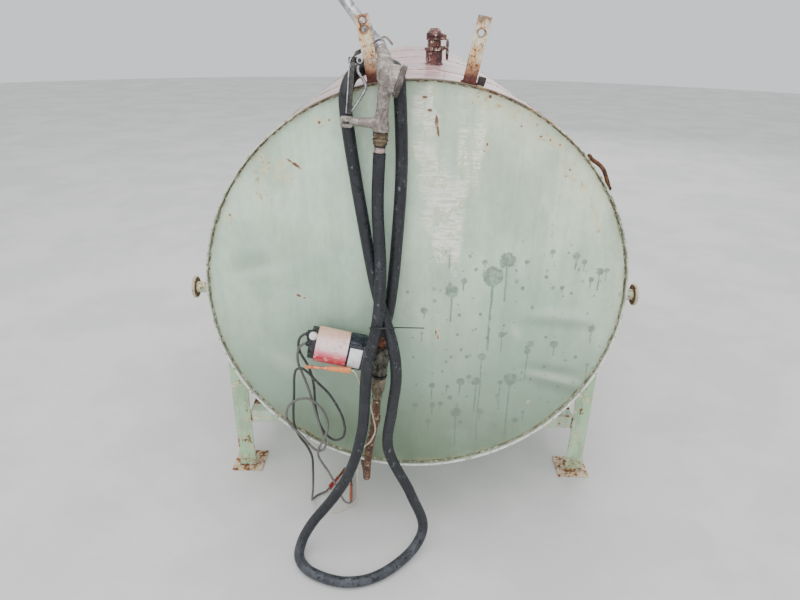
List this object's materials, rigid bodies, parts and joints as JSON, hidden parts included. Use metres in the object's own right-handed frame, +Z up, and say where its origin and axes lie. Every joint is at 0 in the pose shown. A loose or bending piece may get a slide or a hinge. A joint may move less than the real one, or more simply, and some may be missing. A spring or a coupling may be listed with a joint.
{
  "type": "diesel tank",
  "caption": "Horizontal steel fuel tank on a low leg frame, with lifting lugs, capped fill pipe, electric transfer pump and a hose with a trigger nozzle.",
  "frame": {"origin": "on the ground, in the middle of the tank's box without its hose and leads", "axes": "+X to the right seen from the pump's end, +Y from the pump's end to the rear, +Z up"},
  "size_m": [1.38, 2.2436, 1.5551],
  "materials": {
    "sage_paint": "satin",
    "wet_paint": "gloss",
    "mint_paint": "satin",
    "cream_paint": "chipped",
    "rusty_steel": "rusted",
    "dark_rust": "rusted",
    "motor_wrap": "gloss",
    "black_plastic": "matte",
    "black_rubber": "matte",
    "bronze": "weathered",
    "cast_aluminium": "cast",
    "bright_aluminium": "satin",
    "bright_steel": "satin",
    "copper": "weathered",
    "red_plastic": "matte",
    "grey_cable": "matte",
    "white_cable": "matte"
  },
  "bodies": {
    "tank": {"shell": "wet_paint", "front_head": "sage_paint", "rear_head": "sage_paint", "crossbar_front": "mint_paint", "crossbar_rear": "mint_paint", "side_rail_left": "rusty_steel", "side_rail_right": "rusty_steel", "fill_socket": "dark_rust", "fill_cap": "dark_rust", "fill_cap_ring": "dark_rust", "square_plug": "black_plastic", "rod_loop": "rusty_steel", "pump_motor": "motor_wrap", "pump_end_cover": "black_plastic", "pump_head": "bronze", "outlet_nipple": "rusty_steel", "seal_ring": "black_rubber", "hex_reducer": "bronze", "drain_socket": "rusty_steel", "suction_pipe": "rusty_steel", "nozzle_body": "cast_aluminium", "nozzle_cap": "cast_aluminium", "nozzle_swivel": "bronze", "hose_ferrule": "bright_steel", "nozzle_spout": "bright_aluminium", "nozzle_guard": "black_plastic", "hose": "black_rubber", "hose_tie": "black_plastic", "lead_black": "black_rubber", "lead_grey": "grey_cable", "wire_white": "white_cable", "clamp_orange": "copper", "clamp_copper": "copper", "clamp_red": "red_plastic", "leg_front_left": "mint_paint", "foot_plate_front_left": "rusty_steel", "peg_front_left": "mint_paint", "leg_front_right": "mint_paint", "foot_plate_front_right": "rusty_steel", "peg_front_right": "mint_paint", "leg_rear_left": "mint_paint", "foot_plate_rear_left": "rusty_steel", "peg_rear_left": "mint_paint", "leg_rear_right": "mint_paint", "foot_plate_rear_right": "rusty_steel", "peg_rear_right": "mint_paint", "lug_front_left": "cream_paint", "lug_front_right": "cream_paint"},
    "lever": {"nozzle_lever": "bright_steel"}
  },
  "joints": [
    {"name": "lever_pull", "type": "hinge", "parent": "tank", "child": "lever", "pos_m": [-0.1375, -0.9635, 1.375], "axis": [0, -0.9799, 0.1994], "range_deg": [0, 18], "stiffness_Nm_per_rad": 0.5, "springref_deg": -11.46}
  ]
}
